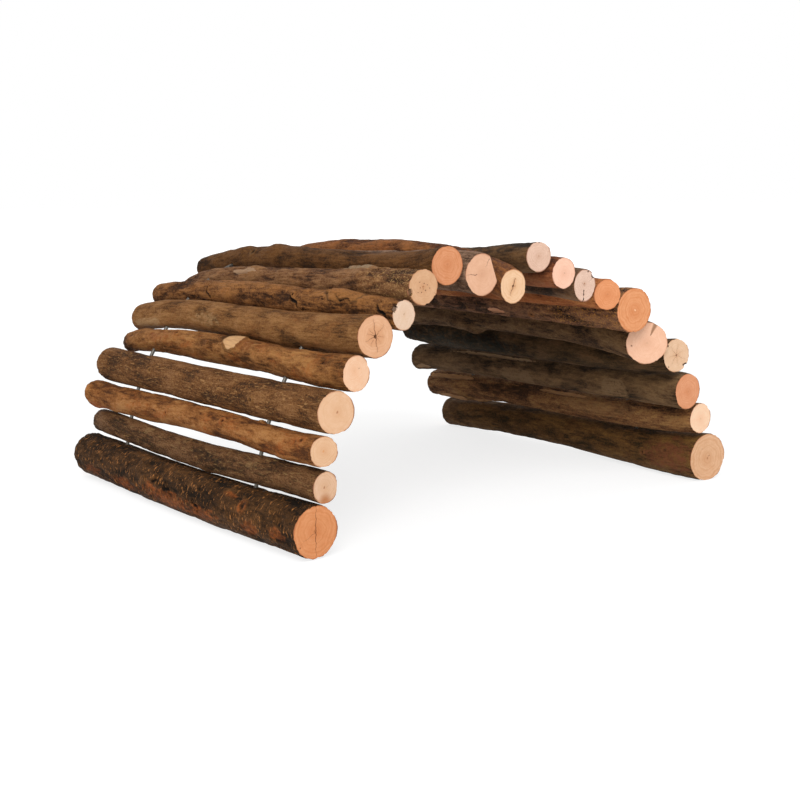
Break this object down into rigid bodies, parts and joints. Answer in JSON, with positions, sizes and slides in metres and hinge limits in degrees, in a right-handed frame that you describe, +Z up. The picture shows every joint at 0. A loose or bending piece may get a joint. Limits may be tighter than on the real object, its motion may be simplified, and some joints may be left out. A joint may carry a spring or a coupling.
{
  "type": "small animal bridge",
  "caption": "Bendable arch bridge and hide for small pets: bark-covered branch logs, sawn at both ends, drilled and strung side by side on steel wires.",
  "frame": {"origin": "on the ground, under the middle of the bounding box", "axes": "+X along the bridge from log_01 to log_21, +Y along the logs from their near sawn ends to their far ones, +Z up"},
  "size_m": [0.376, 0.3076, 0.1752],
  "materials": {
    "bark_01": "natural bark, sawn bare ends",
    "bark_02": "natural bark, sawn bare ends",
    "bark_03": "natural bark, sawn bare ends",
    "bark_04": "natural bark, sawn bare ends",
    "bark_05": "natural bark, sawn bare ends",
    "bark_06": "natural bark, sawn bare ends",
    "bark_07": "natural bark, sawn bare ends",
    "bark_08": "natural bark, sawn bare ends",
    "bark_09": "natural bark, sawn bare ends",
    "bark_10": "natural bark, sawn bare ends",
    "bark_11": "natural bark, sawn bare ends",
    "bark_12": "natural bark, sawn bare ends",
    "bark_13": "natural bark, sawn bare ends",
    "bark_14": "natural bark, sawn bare ends",
    "bark_15": "natural bark, sawn bare ends",
    "bark_16": "natural bark, sawn bare ends",
    "bark_17": "natural bark, sawn bare ends",
    "bark_18": "natural bark, sawn bare ends",
    "bark_19": "natural bark, sawn bare ends",
    "bark_20": "natural bark, sawn bare ends",
    "bark_21": "natural bark, sawn bare ends",
    "wire_steel": "plain drawn wire"
  },
  "bodies": {
    "log_01": {"log_01": "bark_01"},
    "log_02": {"log_02": "bark_02"},
    "log_03": {"log_03": "bark_03"},
    "log_04": {"log_04": "bark_04"},
    "log_05": {"log_05": "bark_05"},
    "log_06": {"log_06": "bark_06"},
    "log_07": {"log_07": "bark_07"},
    "log_08": {"log_08": "bark_08"},
    "log_09": {"log_09": "bark_09"},
    "log_10": {"log_10": "bark_10"},
    "log_11": {"log_11": "bark_11", "near_wire": "wire_steel", "far_wire": "wire_steel"},
    "log_12": {"log_12": "bark_12"},
    "log_13": {"log_13": "bark_13"},
    "log_14": {"log_14": "bark_14"},
    "log_15": {"log_15": "bark_15"},
    "log_16": {"log_16": "bark_16"},
    "log_17": {"log_17": "bark_17"},
    "log_18": {"log_18": "bark_18"},
    "log_19": {"log_19": "bark_19"},
    "log_20": {"log_20": "bark_20"},
    "log_21": {"log_21": "bark_21"}
  },
  "joints": [
    {"name": "bend_01", "type": "hinge", "parent": "log_02", "child": "log_01", "pos_m": [-0.1692, -0.00004, 0.03164], "axis": [0, -1, 0], "range_deg": [-11.5, 7.5], "deforming": ["near_wire", "far_wire"]},
    {"name": "bend_02", "type": "hinge", "parent": "log_03", "child": "log_02", "pos_m": [-0.16532, -0.00004, 0.05051], "axis": [0, -1, 0], "range_deg": [-13.5, 10.5], "deforming": ["near_wire", "far_wire"]},
    {"name": "bend_03", "type": "hinge", "parent": "log_04", "child": "log_03", "pos_m": [-0.15951, -0.00004, 0.06937], "axis": [0, -1, 0], "range_deg": [-16.5, 7.5], "deforming": ["near_wire", "far_wire"]},
    {"name": "bend_04", "type": "hinge", "parent": "log_05", "child": "log_04", "pos_m": [-0.14764, -0.00004, 0.09409], "axis": [0, -1, 0], "range_deg": [-16.5, 7.5], "deforming": ["near_wire", "far_wire"]},
    {"name": "bend_05", "type": "hinge", "parent": "log_06", "child": "log_05", "pos_m": [-0.13582, -0.00004, 0.11153], "axis": [0, -1, 0], "range_deg": [-16.5, 7.5], "deforming": ["near_wire", "far_wire"]},
    {"name": "bend_06", "type": "hinge", "parent": "log_07", "child": "log_06", "pos_m": [-0.11846, -0.00004, 0.13039], "axis": [0, -1, 0], "range_deg": [-16.5, 7.5], "deforming": ["near_wire", "far_wire"]},
    {"name": "bend_07", "type": "hinge", "parent": "log_08", "child": "log_07", "pos_m": [-0.10311, -0.00004, 0.14276], "axis": [0, -1, 0], "range_deg": [-18, 6], "deforming": ["near_wire", "far_wire"]},
    {"name": "bend_08", "type": "hinge", "parent": "log_09", "child": "log_08", "pos_m": [-0.08399, -0.00004, 0.1533], "axis": [0, -1, 0], "range_deg": [-15.5, 4.5], "deforming": ["near_wire", "far_wire"]},
    {"name": "bend_09", "type": "hinge", "parent": "log_10", "child": "log_09", "pos_m": [-0.06103, -0.00004, 0.16048], "axis": [0, -1, 0], "range_deg": [-19, 5], "deforming": ["near_wire", "far_wire"]},
    {"name": "bend_10", "type": "hinge", "parent": "log_11", "child": "log_10", "pos_m": [-0.03512, -0.00004, 0.16337], "axis": [0, -1, 0], "range_deg": [-17, 4], "deforming": ["near_wire", "far_wire"]},
    {"name": "bend_11", "type": "hinge", "parent": "log_11", "child": "log_12", "pos_m": [-0.01193, -0.00004, 0.1623], "axis": [0, 1, 0], "range_deg": [-16, 2], "deforming": ["near_wire", "far_wire"]},
    {"name": "bend_12", "type": "hinge", "parent": "log_12", "child": "log_13", "pos_m": [0.00889, -0.00004, 0.1584], "axis": [0, 1, 0], "range_deg": [-14, 10], "deforming": ["near_wire", "far_wire"]},
    {"name": "bend_13", "type": "hinge", "parent": "log_13", "child": "log_14", "pos_m": [0.02964, -0.00004, 0.1522], "axis": [0, 1, 0], "range_deg": [-12, 12], "deforming": ["near_wire", "far_wire"]},
    {"name": "bend_14", "type": "hinge", "parent": "log_14", "child": "log_15", "pos_m": [0.05045, -0.00004, 0.14436], "axis": [0, 1, 0], "range_deg": [-12, 12], "deforming": ["near_wire", "far_wire"]},
    {"name": "bend_15", "type": "hinge", "parent": "log_15", "child": "log_16", "pos_m": [0.07212, -0.00004, 0.13442], "axis": [0, 1, 0], "range_deg": [-14.5, 9.5], "deforming": ["near_wire", "far_wire"]},
    {"name": "bend_16", "type": "hinge", "parent": "log_16", "child": "log_17", "pos_m": [0.09721, -0.00004, 0.11927], "axis": [0, 1, 0], "range_deg": [-18, 6], "deforming": ["near_wire", "far_wire"]},
    {"name": "bend_17", "type": "hinge", "parent": "log_17", "child": "log_18", "pos_m": [0.11873, -0.00004, 0.10047], "axis": [0, 1, 0], "range_deg": [-18, 6], "deforming": ["near_wire", "far_wire"]},
    {"name": "bend_18", "type": "hinge", "parent": "log_18", "child": "log_19", "pos_m": [0.13566, -0.00004, 0.07946], "axis": [0, 1, 0], "range_deg": [-16, 8], "deforming": ["near_wire", "far_wire"]},
    {"name": "bend_19", "type": "hinge", "parent": "log_19", "child": "log_20", "pos_m": [0.15059, -0.00004, 0.05449], "axis": [0, 1, 0], "range_deg": [-13.5, 10.5], "deforming": ["near_wire", "far_wire"]},
    {"name": "bend_20", "type": "hinge", "parent": "log_20", "child": "log_21", "pos_m": [0.16156, -0.00004, 0.03136], "axis": [0, 1, 0], "range_deg": [-12.5, 11.5], "deforming": ["near_wire", "far_wire"]}
  ]
}
